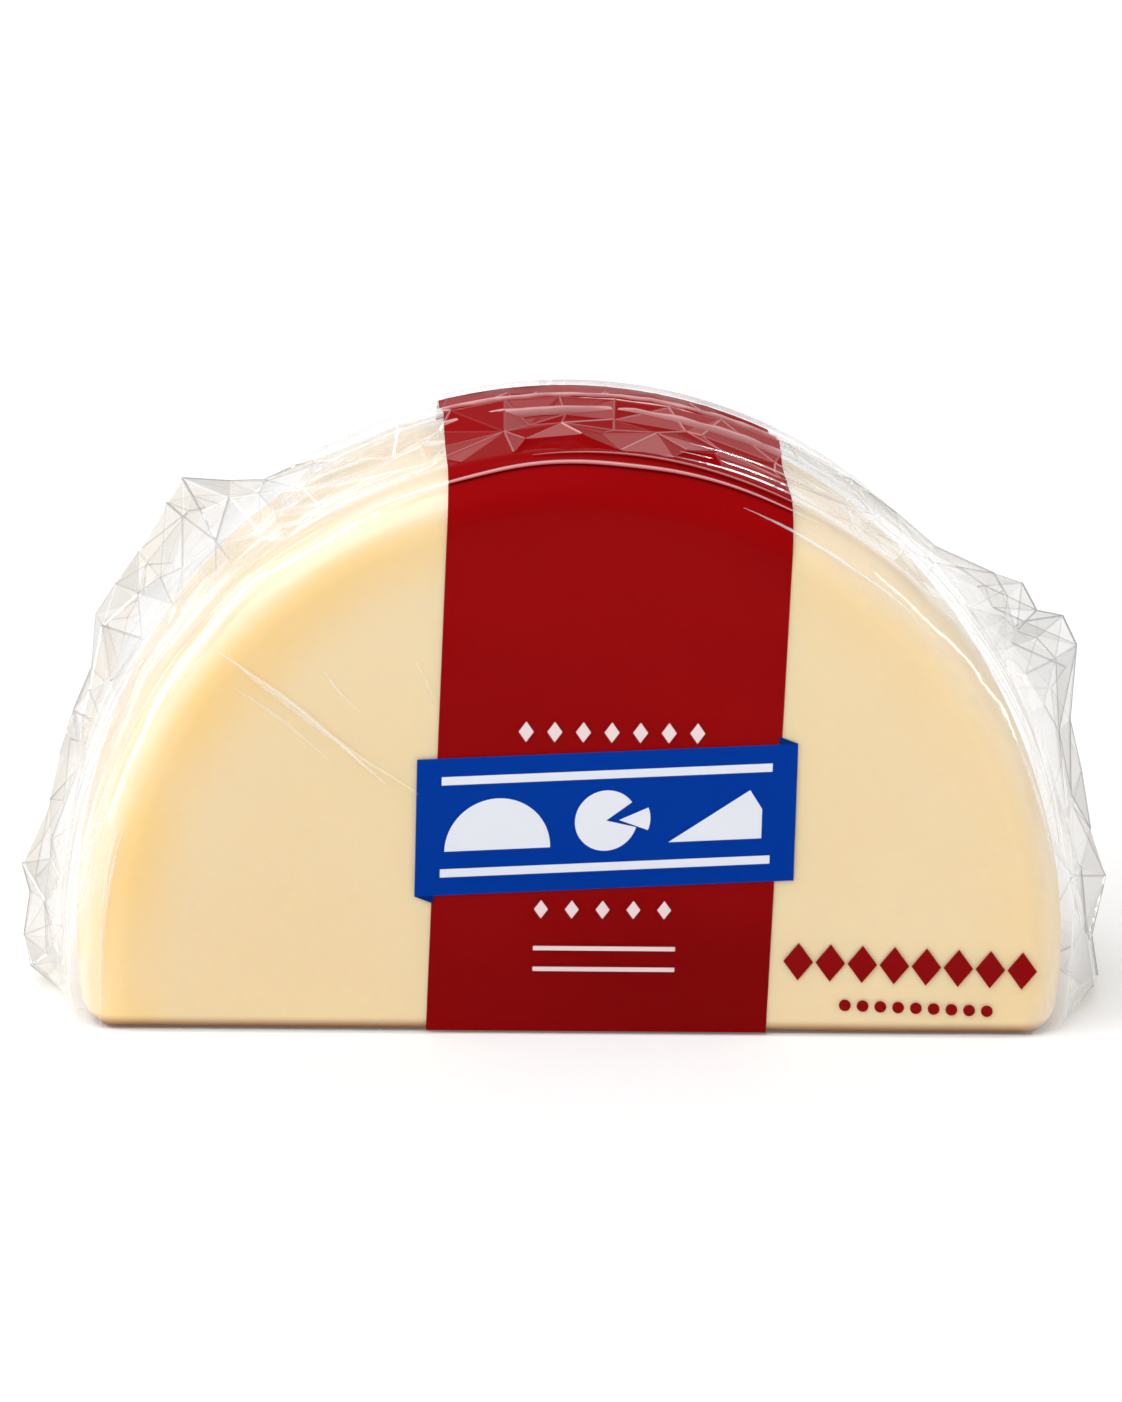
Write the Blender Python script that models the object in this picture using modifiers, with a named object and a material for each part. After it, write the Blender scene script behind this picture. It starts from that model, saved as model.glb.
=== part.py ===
"""Half a wheel of provolone, standing on its cut side, in a clear bag with a printed band.

X runs along the cut side, Y through the wheel's thickness, with the printed front at -Y, and Z up.
The origin is the middle of the flat cut side that the piece stands on.
"""

import math

import bmesh
import bpy
from mathutils import Vector

# The half wheel.
WHEEL_RADIUS = 0.100
WHEEL_STRETCH = 1.021  # the rim stands slightly taller than a true circle
THICKNESS = 0.072
CUT_BELOW_CENTRE = 0.0146  # the cut passes this far under the wheel's centre
SHOULDER = 0.0085  # rounding between each flat face and the rim
RIM_CROWN = 0.0012  # how far the rim bulges at half thickness
CUT_EDGE = 0.003  # rounding between each flat face and the cut side
CUT_CORNER = 0.007  # rounding where the rim meets the cut side
LEAST_CORNER = 0.0015

# The printed band, which the bag carries over the front, the rim and the back.
GAP = 0.0003  # free space between neighbouring pieces
PRINT_THICKNESS = 0.0005
BAND_WIDTH = 0.0678
BAND_MIDDLE = 0.0056
BAND_LEAN = math.radians(1.2)  # the band's top leans towards +X
BAND_FOOT = 0.0015

# The slanted banner across the band, with a folded tail at two of its corners.
BANNER_WIDTH = 0.0755
BANNER_HEIGHT = 0.0281
BANNER_MIDDLE = (0.0055, 0.0440)
BANNER_SLOPE = 0.054
TAIL_LENGTH = 0.0038
TAIL_DROP = 0.0016

# The bag, where it stands off the rim: a low tent with a seam ridge, and a crumpled ear at each side.
FILM_CLEARANCE = 0.0011
FILM_FOOT_HEIGHT = 0.0014
FILM_RIDGE_HALF_WIDTH = 0.0014
FILM_SLOPE_AT = 0.45  # share of the way from foot to ridge where the tent's side bends
FILM_SLOPE_HEIGHT = 0.30  # its height there, as a share of the ridge's
FILM_STEP = math.radians(3.0)
# The ridge's height over the rim, in millimetres, by angle in degrees from +X.
FILM_RIDGE = (
    (-5.5, 10.0),
    (-2.0, 8.5),
    (4.5, 10.5),
    (10.0, 8.5),
    (22.0, 9.7),
    (28.5, 16.5),
    (32.0, 17.0),
    (33.8, 13.3),
    (37.0, 13.9),
    (46.0, 4.6),
    (58.0, 3.2),
    (110.0, 3.2),
    (124.0, 4.4),
    (128.0, 8.0),
    (132.0, 17.5),
    (140.0, 13.9),
    (148.0, 12.8),
    (153.0, 8.2),
    (168.0, 6.8),
    (175.0, 10.3),
    (178.5, 8.7),
    (185.5, 9.5),
)

ARC_STEPS = 60
CORNER_STEPS = 5
CUT_STEPS = 12
SHOULDER_STEPS = 6
FLANK_STEPS = 4
RIM_SAMPLES = (-1.0, -0.5, 0.0, 0.5, 1.0)

COLLECTION = "provolone_half_wheel"


def clear_scene():
    for obj in list(bpy.data.objects):
        bpy.data.objects.remove(obj, do_unlink=True)


def part_collection():
    collection = bpy.data.collections.new(COLLECTION)
    bpy.context.scene.collection.children.link(collection)
    return collection


def material(name, colour, roughness, metallic=0.0, alpha=1.0):
    made = bpy.data.materials.new(name)
    made.use_nodes = True
    shader = made.node_tree.nodes["Principled BSDF"]
    shader.inputs["Base Color"].default_value = (*colour, 1.0)
    shader.inputs["Roughness"].default_value = roughness
    shader.inputs["Metallic"].default_value = metallic
    shader.inputs["Alpha"].default_value = alpha
    return made


def add_object(collection, name, data, surface):
    obj = bpy.data.objects.new(name, data)
    obj.data.materials.append(surface)
    collection.objects.link(obj)
    return obj


def mesh_from(bm, name):
    mesh = bpy.data.meshes.new(name)
    bm.to_mesh(mesh)
    bm.free()
    mesh.shade_smooth()
    mesh.set_sharp_from_angle(angle=math.radians(35))
    return mesh


def loft(rings):
    """A closed body through rings of equal length, each a list of points, capped at both ends."""
    bm = bmesh.new()
    loops = [[bm.verts.new(point) for point in ring] for ring in rings]
    for first, second in zip(loops, loops[1:]):
        for i in range(len(first)):
            j = (i + 1) % len(first)
            bm.faces.new((first[i], first[j], second[j], second[i]))
    bm.faces.new(loops[0])
    bm.faces.new(loops[-1])
    bmesh.ops.recalc_face_normals(bm, faces=bm.faces)
    return bm


def rim_point(radius, angle):
    """(x, z) at this distance from the wheel's axis, on the stretched circle."""
    return (
        radius * math.cos(angle),
        CUT_BELOW_CENTRE + WHEEL_STRETCH * radius * math.sin(angle),
    )


def flank():
    """Half the width of the rim between its two shoulders."""
    return THICKNESS / 2 - SHOULDER


def crown_inset(y):
    return RIM_CROWN * min(abs(y) / flank(), 1.0) ** 2


def outline(inset, cut_inset):
    """The half wheel's outline, as (x, z) points: an arc, two rounded corners and the cut side."""
    radius = WHEEL_RADIUS - inset
    corner = max(CUT_CORNER - inset, LEAST_CORNER)
    centre = CUT_BELOW_CENTRE / WHEEL_STRETCH
    corner_height = cut_inset / WHEEL_STRETCH + corner
    drop = centre - corner_height
    reach = math.sqrt((radius - corner) ** 2 - drop**2)
    start = -math.asin(drop / (radius - corner))

    def corner_arc(side, first, last):
        for i in range(1, CORNER_STEPS):
            angle = first + (last - first) * i / CORNER_STEPS
            x = side * reach + corner * math.cos(angle)
            yield x, (corner_height + corner * math.sin(angle)) * WHEEL_STRETCH

    points = [(reach, cut_inset)]
    points += corner_arc(1, -math.pi / 2, start)
    for i in range(ARC_STEPS + 1):
        points.append(rim_point(radius, start + (math.pi - 2 * start) * i / ARC_STEPS))
    points += corner_arc(-1, math.pi - start, math.pi * 1.5)
    for i in range(CUT_STEPS):
        points.append((reach * (2 * i / CUT_STEPS - 1), cut_inset))
    return points


def cut_inset_at(y):
    """How far the rounded cut edge has drawn in at this place through the thickness."""
    past = max(abs(y) - (THICKNESS / 2 - CUT_EDGE), 0.0)
    return CUT_EDGE - math.sqrt(max(CUT_EDGE**2 - past**2, 0.0))


def wheel_sections():
    """(y, rim inset) through the thickness, from the front face to the back face."""
    shoulder = []
    for i in range(SHOULDER_STEPS + 1):
        angle = math.pi / 2 * (1 - i / SHOULDER_STEPS)
        y = flank() + SHOULDER * math.sin(angle)
        shoulder.append((y, RIM_CROWN + SHOULDER * (1 - math.cos(angle))))
    rim = []
    for i in range(1, FLANK_STEPS):
        y = flank() * (2 * i / FLANK_STEPS - 1)
        rim.append((y, crown_inset(y)))
    front = [(-y, inset) for y, inset in shoulder]
    return front + rim + shoulder[::-1]


def make_cheese(collection):
    rings = [
        [(x, y, z) for x, z in outline(inset, cut_inset_at(y))]
        for y, inset in wheel_sections()
    ]
    surface = material("cheese", (0.86, 0.70, 0.40), 0.45)
    return add_object(collection, "cheese", mesh_from(loft(rings), "cheese"), surface)


def keep_side(bm, point, normal):
    """Cuts away what lies on the normal's side of a plane."""
    whole = bm.verts[:] + bm.edges[:] + bm.faces[:]
    bmesh.ops.bisect_plane(
        bm, geom=whole, plane_co=point, plane_no=normal, clear_outer=True
    )


def make_print_band(collection, cheese):
    """An upside-down U over front, rim and back: the cheese's skin inside two planes, thickened."""
    bm = bmesh.new()
    bm.from_mesh(cheese.data)
    pivot_height = BANNER_MIDDLE[1]
    for side in (-1, 1):
        edge = Vector((BAND_MIDDLE + side * BAND_WIDTH / 2, 0, pivot_height))
        outward = Vector((math.cos(BAND_LEAN), 0, -math.sin(BAND_LEAN))) * side
        keep_side(bm, edge, outward)
    keep_side(bm, Vector((0, 0, BAND_FOOT)), Vector((0, 0, -1)))
    bm.normal_update()
    for vert in bm.verts:
        vert.co += vert.normal * GAP
    surface = material("print_red", (0.42, 0.006, 0.010), 0.30)
    band = add_object(collection, "print_band", mesh_from(bm, "print_band"), surface)
    solidify = band.modifiers.new("thickness", "SOLIDIFY")
    solidify.thickness = PRINT_THICKNESS
    solidify.offset = 1.0
    solidify.use_even_offset = True
    return band


def banner_corners():
    """The banner's outline, as (x, z), from its top left corner down and round."""
    middle_x, middle_z = BANNER_MIDDLE
    half_width = BANNER_WIDTH / 2
    half_height = BANNER_HEIGHT / 2

    def corner(x, z):
        return middle_x + x, middle_z + z + BANNER_SLOPE * x

    def fold(side):
        """The tail behind one corner: its far point, and where it goes under the banner's edge."""
        inner = side * (half_width - TAIL_LENGTH)
        edge = side * half_height
        return corner(inner, edge + side * TAIL_DROP), corner(inner, edge)

    left_tip, left_edge = fold(-1)
    right_tip, right_edge = fold(1)
    return [
        corner(-half_width, half_height),
        corner(-half_width, -half_height),
        left_tip,
        left_edge,
        corner(half_width, -half_height),
        corner(half_width, half_height),
        right_tip,
        right_edge,
    ]


def make_print_banner(collection):
    """A flat ribbon in front of the band, which overhangs it at both sides."""
    curve = bpy.data.curves.new("print_banner", "CURVE")
    curve.dimensions = "2D"
    curve.fill_mode = "BOTH"
    curve.extrude = PRINT_THICKNESS / 2
    spline = curve.splines.new("POLY")
    corners = banner_corners()
    spline.points.add(len(corners) - 1)
    for point, (x, z) in zip(spline.points, corners):
        point.co = (x, z, 0, 1)
    spline.use_cyclic_u = True
    surface = material("print_blue", (0.0, 0.045, 0.38), 0.30)
    banner = add_object(collection, "print_banner", curve, surface)
    banner.rotation_euler.x = math.pi / 2
    band_front = THICKNESS / 2 + GAP + PRINT_THICKNESS
    banner.location.y = -(band_front + GAP + PRINT_THICKNESS / 2)
    return banner


def film_ridge_height(angle):
    """The ridge's height over the rim, in metres, between the stated places."""
    degrees = math.degrees(angle)
    for (a, low), (b, high) in zip(FILM_RIDGE, FILM_RIDGE[1:]):
        if degrees <= b:
            return (low + (high - low) * (degrees - a) / (b - a)) / 1000
    return FILM_RIDGE[-1][1] / 1000


def film_angles():
    """Every stated place, with enough steps between two of them to follow the rim."""
    angles = [math.radians(FILM_RIDGE[0][0])]
    for degrees, _ in FILM_RIDGE[1:]:
        last = angles[-1]
        span = math.radians(degrees) - last
        steps = math.ceil(span / FILM_STEP)
        angles += [last + span * i / steps for i in range(1, steps + 1)]
    return angles


def film_section(angle):
    """One section of the bag's stand-off: along the rim inside, and over a tent with a ridge outside."""
    ridge = film_ridge_height(angle)
    slope_height = FILM_FOOT_HEIGHT + (ridge - FILM_FOOT_HEIGHT) * FILM_SLOPE_HEIGHT
    slope_y = flank() * (1 - FILM_SLOPE_AT)
    inside = []
    for share in RIM_SAMPLES:
        y = flank() * share
        inside.append((WHEEL_RADIUS - crown_inset(y) + FILM_CLEARANCE, y))
    foot = inside[0][0] + FILM_FOOT_HEIGHT
    half_tent = [
        (foot, flank()),
        (WHEEL_RADIUS + FILM_CLEARANCE + slope_height, slope_y),
        (WHEEL_RADIUS + FILM_CLEARANCE + ridge, FILM_RIDGE_HALF_WIDTH),
    ]
    outside = half_tent + [(radius, -y) for radius, y in half_tent[::-1]]
    ring = []
    for radius, y in inside + outside:
        x, z = rim_point(radius, angle)
        ring.append((x, y, z))
    return ring


def make_film_wrap(collection):
    rings = [film_section(angle) for angle in film_angles()]
    surface = material("clear_film", (0.92, 0.93, 0.94), 0.10, alpha=0.35)
    mesh = mesh_from(loft(rings), "film_wrap")
    return add_object(collection, "film_wrap", mesh, surface)


def main():
    clear_scene()
    collection = part_collection()
    cheese = make_cheese(collection)
    make_print_band(collection, cheese)
    make_print_banner(collection)
    make_film_wrap(collection)


main()
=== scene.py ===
"""Looks of the half wheel of provolone: the cheese, its printed band and banner, and its clear bag.

X runs along the cut side, Y through the thickness with the printed front at -Y, and Z up, in metres.
The bag's rim film is one sheet: crumpled flat facets over the rim, smooth over both shoulders. The
printed band is cut out of that sheet, so its red follows the same creases, and the rest of the sheet
is the clear film with its two ears.
"""

import math
import random

import bmesh
import bpy
from mathutils import Matrix, Vector, noise
from mathutils.geometry import delaunay_2d_cdt

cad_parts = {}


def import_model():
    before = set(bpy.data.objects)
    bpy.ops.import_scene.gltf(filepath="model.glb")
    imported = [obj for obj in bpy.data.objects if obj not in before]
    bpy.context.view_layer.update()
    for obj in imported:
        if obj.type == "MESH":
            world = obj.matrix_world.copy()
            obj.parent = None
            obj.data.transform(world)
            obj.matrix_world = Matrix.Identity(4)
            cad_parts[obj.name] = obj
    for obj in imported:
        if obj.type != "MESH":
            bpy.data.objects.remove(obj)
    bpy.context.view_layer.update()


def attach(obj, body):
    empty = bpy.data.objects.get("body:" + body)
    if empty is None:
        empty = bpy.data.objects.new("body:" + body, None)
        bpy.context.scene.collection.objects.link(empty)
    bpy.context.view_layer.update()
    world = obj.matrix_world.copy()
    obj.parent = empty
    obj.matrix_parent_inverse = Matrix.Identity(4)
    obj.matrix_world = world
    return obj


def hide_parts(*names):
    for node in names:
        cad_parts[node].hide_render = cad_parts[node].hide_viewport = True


MM = 0.001

# The half wheel: the CAD's sizes, with a finer edge at the foot.
WHEEL_RADIUS = 0.100
WHEEL_STRETCH = 1.021
THICKNESS = 0.072
CUT_BELOW_CENTRE = 0.0146
SHOULDER = 0.0085
FLANK = THICKNESS / 2 - SHOULDER
RIM_CROWN = 0.0012
CUT_EDGE = 0.0022
CUT_CORNER = 0.007
LEAST_CORNER = 0.0015
FACE_MIDDLE = (0.0, 0.048)
HALF_SECTION = FLANK + SHOULDER * math.pi / 2  # from mid rim to the flat face, along the skin

# Mesh density of the smooth pieces.
ARC_STEPS = 150
CORNER_STEPS = 9
CUT_STEPS = 60
SHOULDER_STEPS = 9
FLANK_STEPS = 14
CAP_SHARES = (0.1, 0.25, 0.4, 0.55, 0.68, 0.79, 0.88, 0.95, 0.985)

# Layers over each flat face, outwards.
BAND_LIFT = 0.25 * MM
BANNER_LIFT = 0.45 * MM
MARKS_LIFT = 0.60 * MM
FILM_LIFT = 0.85 * MM
SHEET = 0.06 * MM

# The printed band.
BAND_WIDTH = 0.0682
BAND_MIDDLE = 0.0056
BAND_LEAN = math.radians(1.2)
BAND_FOOT = 0.0002

# The banner.
BANNER_WIDTH = 0.0755
BANNER_HEIGHT = 0.0281
BANNER_MIDDLE = (0.0055, 0.0440)
BANNER_SLOPE = 0.054
TAIL_LENGTH = 0.0038
TAIL_DROP = 0.0016

# The bag's ridge: angle in degrees from +X, and height over the rim in millimetres.
FILM_RIDGE = (
    (-9.0, 8.0),
    (-6.5, 11.0),
    (-2.0, 8.5),
    (4.5, 11.0),
    (10.0, 8.5),
    (22.0, 9.7),
    (28.5, 17.0),
    (32.0, 17.3),
    (33.8, 13.3),
    (37.0, 13.9),
    (39.6, 10.5),
    (46.0, 5.0),
    (58.0, 4.6),
    (74.0, 4.6),
    (92.0, 4.8),
    (110.0, 4.8),
    (120.0, 5.0),
    (125.5, 7.0),
    (128.5, 11.0),
    (131.9, 17.8),
    (134.5, 16.6),
    (140.0, 13.9),
    (148.0, 12.9),
    (153.0, 8.2),
    (168.0, 6.8),
    (175.0, 10.5),
    (178.5, 8.5),
    (183.0, 9.8),
    (186.0, 8.9),
    (189.0, 6.0),
)
EAR_STEP = 5.0  # degrees between columns of facets
TOP_STEP = 7.0
EAR_RANGES = ((-20.0, 46.0), (122.0, 200.0))
COLUMN_SHIFT = 0.42
ROW_SHIFT = 0.36
EAR_CRUMPLE = 2.0  # millimetres that a facet's corner may be off the smooth sheet
TOP_CRUMPLE = 0.9
# Rows of facets' corners, by share of the section from mid rim (0) to a flat face (1).
FACETS_END = 0.66
EAR_ROWS = (0.22, 0.46, FACETS_END)
TOP_ROWS = (0.15, 0.30, 0.46, FACETS_END)
ROW_SCALE = 4.0
# The smooth sheet over each shoulder starts a little before the facets' last row, under it.
SMOOTH_START = 0.58
SMOOTH_COLUMNS = 120
SMOOTH_ROWS = 14
# Height over the skin in the tight part, by share of the section from front (-1) to back (1).
TIGHT_PROFILE = (
    (-1.0, 0.30),
    (-0.83, 0.95),
    (-0.66, 1.7),
    (-0.35, 2.1),
    (-0.1, 2.4),
    (0.1, 2.8),
    (0.4, 3.9),
    (0.66, 4.2),
    (0.83, 2.6),
    (1.0, 0.30),
)
TENT_POWER = 1.3
LOW_RIDGE = 5.5  # a ridge under this many millimetres is a narrow fold, not a tent
LEAST_LIFT = 0.8 * MM
CREASE_WIDTH = 0.36 * MM
CREASE_RAISE = 0.28 * MM
# Film is called tight where it is near the cheese, and loose from this height on.
LOOSE_HEIGHT = 6.5 * MM
LOOSE_FADE = 3.0 * MM
# Creases start to fade at this share of the section, and are gone this much further out.
CALM_START = 0.30
CALM_RANGE = 0.15
VEIL_FADE = 0.30  # share of the section over which the film fades out at the flat face

# Long wrinkles along the rim, and the share of them on the left.
WRINKLES = 54
LEFT_WRINKLES = 0.6

# The seam over the top: from this angle on, over this many degrees.
SEAM_START = 50.0
SEAM_SWEEP = 76.0
SEAM_STEPS = 72

FLOOR_DROP = 0.0004


def clamp(value, low=0.0, high=1.0):
    return max(low, min(high, value))


def between(table, at):
    """Reads a table of (place, value) pairs, straight between the pairs."""
    for (a, low), (b, high) in zip(table, table[1:]):
        if at <= b:
            return low + (high - low) * clamp((at - a) / (b - a))
    return table[-1][1]


# Node helpers


class Nodes:
    """A short way to write one material's nodes."""

    def __init__(self, name):
        self.material = bpy.data.materials.new(name)
        self.material.use_nodes = True
        self.tree = self.material.node_tree
        self.tree.nodes.clear()
        self.output = self.tree.nodes.new("ShaderNodeOutputMaterial")

    def add(self, kind, settings=None, **inputs):
        node = self.tree.nodes.new("ShaderNode" + kind)
        for key, value in (settings or {}).items():
            setattr(node, key, value)
        for key, value in inputs.items():
            self.feed(node, key.replace("_", " "), value)
        return node

    def feed(self, node, socket, value):
        target = node.inputs[int(socket) if socket.isdigit() else socket]
        if isinstance(value, bpy.types.NodeSocket):
            self.tree.links.new(value, target)
        elif isinstance(value, tuple) and len(value) == 3 and target.type == "RGBA":
            target.default_value = (*value, 1.0)
        else:
            target.default_value = value

    def math(self, operation, *values, clamped=False):
        node = self.tree.nodes.new("ShaderNodeMath")
        node.operation = operation
        node.use_clamp = clamped
        for i, value in enumerate(values):
            self.feed(node, str(i), value)
        return node.outputs[0]

    def mix(self, share, first, second):
        node = self.tree.nodes.new("ShaderNodeMix")
        node.data_type = "RGBA"
        self.feed(node, "0", share)
        self.feed(node, "6", first)
        self.feed(node, "7", second)
        return node.outputs[2]

    def noise(self, scale, stretch=(1, 1, 1), detail=2.0, roughness=0.5):
        place = self.add("TexCoord").outputs["Object"]
        mapping = self.add("Mapping", Vector=place, Scale=stretch)
        texture = self.add(
            "TexNoise", Vector=mapping.outputs[0], Scale=scale, Detail=detail, Roughness=roughness
        )
        return texture.outputs[0]

    def ramp(self, value, low, high):
        node = self.add("MapRange", {"interpolation_type": "SMOOTHSTEP"}, Value=value)
        node.inputs["From Min"].default_value = low
        node.inputs["From Max"].default_value = high
        return node.outputs[0]

    def attribute(self, name):
        return self.add("Attribute", {"attribute_name": name}).outputs["Fac"]

    def bump(self, height, distance, strength=1.0):
        node = self.add("Bump", Height=height, Strength=strength, Distance=distance)
        return node.outputs[0]

    def thin_gloss(self, straight_on, normal):
        """How much a thin film reflects, the same from both of its sides, by Schlick's rule."""
        facing = self.add("LayerWeight", Blend=0.5, Normal=normal).outputs["Facing"]
        grazing = self.math("POWER", facing, 5.0)
        return self.math("MULTIPLY_ADD", grazing, 1.0 - straight_on, straight_on, clamped=True)

    def rim_streaks(self):
        """Long thin streaks that run along the rim, from 0 to 1: the mask of the film's painted highlight
        streaks.
        """
        place = self.add("SeparateXYZ", Vector=self.add("TexCoord").outputs["Object"])
        height = self.math("SUBTRACT", place.outputs["Z"], CUT_BELOW_CENTRE)
        angle = self.math("ARCTAN2", height, place.outputs["X"])
        across = self.math("MULTIPLY", place.outputs["Y"], 230.0)
        plan = self.add("CombineXYZ", X=self.math("MULTIPLY", angle, 2.6), Y=across).outputs[0]
        texture = self.add("TexNoise", Vector=plan, Scale=1.0, Detail=4.0, Roughness=0.6)
        return self.ramp(texture.outputs[0], 0.46, 0.72)

    def finish(self, shader):
        self.tree.links.new(shader, self.output.inputs["Surface"])
        return self.material


def cheese_material():
    """Cream in the middle of the face with faint mottling, a painted glow that makes it yellower towards
    the rim, most on the lit left, a painted highlight on the shoulder and rim, and a painted shadow at the
    foot.
    """
    nodes = Nodes("provolone")
    place = nodes.add("SeparateXYZ", Vector=nodes.add("TexCoord").outputs["Object"])
    x, z = place.outputs["X"], place.outputs["Z"]
    height = nodes.math("SUBTRACT", z, CUT_BELOW_CENTRE)
    squares = nodes.math("MULTIPLY_ADD", x, x, nodes.math("MULTIPLY", height, height))
    radius = nodes.math("SQRT", squares)
    colour = nodes.mix(nodes.ramp(z, 0.02, 0.09), (0.85, 0.665, 0.395), (0.875, 0.70, 0.43))
    # Painted glow: a yellower ring near the rim, strongest on the left where the key light falls, in place
    # of light coming through the shoulder.
    lit_left_share = nodes.math("MULTIPLY_ADD", nodes.ramp(x, 0.02, -0.05), 0.7, 0.3)
    painted_glow = nodes.math("MULTIPLY", nodes.ramp(radius, 0.077, 0.0915), lit_left_share)
    colour = nodes.mix(painted_glow, colour, (0.90, 0.625, 0.245))
    # Painted highlight: the shoulder and rim are painted paler, in place of the film's highlight and the
    # light from above.
    colour = nodes.mix(nodes.ramp(radius, 0.0925, 0.0975), colour, (0.92, 0.755, 0.53))
    blotches = nodes.ramp(nodes.noise(22.0, detail=3.0), 0.35, 0.7)
    colour = nodes.mix(nodes.math("MULTIPLY", blotches, 0.5), colour, (0.875, 0.705, 0.45))
    specks = nodes.ramp(nodes.noise(420.0, detail=2.0), 0.55, 0.8)
    colour = nodes.mix(nodes.math("MULTIPLY", specks, 0.12), colour, (0.90, 0.78, 0.54))
    # Painted shadow: dark brown at the foot, in place of the shade under the cut edge where it meets the
    # floor.
    foot = nodes.ramp(z, 0.0030, 0.0002)
    colour = nodes.mix(foot, colour, (0.26, 0.09, 0.015))
    dents = nodes.bump(nodes.noise(60.0, detail=4.0), 0.0004, 0.5)
    shader = nodes.add("BsdfPrincipled", Base_Color=colour, Roughness=0.5, Normal=dents)
    shader.inputs["IOR"].default_value = 1.42
    shader.inputs["Subsurface Weight"].default_value = 0.35
    shader.inputs["Subsurface Radius"].default_value = (1.0, 0.55, 0.2)
    shader.inputs["Subsurface Scale"].default_value = 0.006
    return nodes.finish(shader.outputs[0])


def film_material():
    """Clear film, glossy: greyer where it is seen edge on, partly as the film's own loss and partly as
    painted shade, with a white layer that is the film's milkiness and, where seen edge on, a painted
    reflection of the bright sky; painted grey and white lines in its creases and painted highlight streaks
    over the rim.
    """
    nodes = Nodes("clear_film")
    crease = nodes.attribute("crease")
    haze = nodes.attribute("haze")
    waves = nodes.bump(nodes.noise(170.0, detail=2.0), 0.00035, 0.5)
    edge_on = nodes.add("LayerWeight", Blend=0.35, Normal=waves).outputs["Facing"]
    edge_on = nodes.math("MULTIPLY", edge_on, edge_on)
    tight = nodes.attribute("tight")
    loose = nodes.math("SUBTRACT", 1.0, tight, clamped=True)
    # Painted highlight: white streaks along the rim in the tight film.
    streaks = nodes.math("MULTIPLY", nodes.rim_streaks(), tight)
    loss_and_shade = nodes.math("MULTIPLY_ADD", edge_on, nodes.math("MULTIPLY_ADD", loose, 0.16, 0.05), 0.01)
    greyness = nodes.math("MULTIPLY_ADD", haze, 0.24, 0.03)
    loss_and_shade = nodes.math("MULTIPLY_ADD", greyness, loose, loss_and_shade)
    # Painted shade and highlight: creases are painted greyer and whiter, in place of their reflections of
    # dark and bright surroundings.
    crease_painted_shade = nodes.math("MULTIPLY_ADD", loose, 0.60, 0.08)
    loss_and_shade = nodes.math("MULTIPLY_ADD", crease, crease_painted_shade, loss_and_shade)
    clear = nodes.math("SUBTRACT", 1.0, loss_and_shade, clamped=True)
    through = nodes.add("BsdfTransparent", Color=clear)
    # The white diffuse layer: the film's milkiness, plus painted reflection where seen edge on and painted
    # highlights in the streaks and creases.
    milk_and_sheen_layer = nodes.add("BsdfDiffuse", Color=(0.95, 0.955, 0.96))
    milk_and_sheen = nodes.math("MULTIPLY_ADD", haze, 0.06, 0.03)
    milk_and_sheen = nodes.math("MULTIPLY_ADD", edge_on, nodes.math("MULTIPLY_ADD", loose, 0.13, 0.10), milk_and_sheen)
    milk_and_sheen = nodes.math("MULTIPLY_ADD", streaks, 0.55, milk_and_sheen)
    crease_painted_highlight = nodes.math("MULTIPLY_ADD", tight, 0.25, 0.20)
    milk_and_sheen = nodes.math("MULTIPLY_ADD", crease, crease_painted_highlight, milk_and_sheen, clamped=True)
    body = nodes.add("MixShader", **{"0": milk_and_sheen, "1": through.outputs[0], "2": milk_and_sheen_layer.outputs[0]})
    gloss = nodes.add("BsdfGlossy", Color=(1.0, 1.0, 1.0), Roughness=0.07, Normal=waves)
    shine = nodes.thin_gloss(0.065, waves)
    whole = nodes.add("MixShader", **{"0": shine, "1": body.outputs[0], "2": gloss.outputs[0]})
    nothing = nodes.add("BsdfTransparent", Color=(1.0, 1.0, 1.0))
    veil = nodes.attribute("veil")
    shader = nodes.add("MixShader", **{"0": veil, "1": nothing.outputs[0], "2": whole.outputs[0]})
    return nodes.finish(shader.outputs[0])


def skin_material():
    """The film where it lies tight on the flat faces: almost only a gloss, with its creases painted white
    as a painted highlight.
    """
    nodes = Nodes("tight_film")
    crease = nodes.attribute("crease")
    waves = nodes.bump(nodes.noise(45.0, stretch=(0.6, 1.0, 1.7), detail=2.0), 0.0006, 0.4)
    through = nodes.add("BsdfTransparent", Color=(0.99, 0.99, 0.99))
    milk_and_sheen_layer = nodes.add("BsdfDiffuse", Color=(0.97, 0.96, 0.93))
    # Painted highlight: the creases are painted white.
    milk_and_sheen = nodes.math("MULTIPLY_ADD", crease, 0.8, 0.001)
    body = nodes.add("MixShader", **{"0": milk_and_sheen, "1": through.outputs[0], "2": milk_and_sheen_layer.outputs[0]})
    gloss = nodes.add("BsdfGlossy", Color=(1.0, 1.0, 1.0), Roughness=0.12, Normal=waves)
    shine = nodes.thin_gloss(0.001, waves)
    shader = nodes.add("MixShader", **{"0": shine, "1": body.outputs[0], "2": gloss.outputs[0]})
    return nodes.finish(shader.outputs[0])


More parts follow.
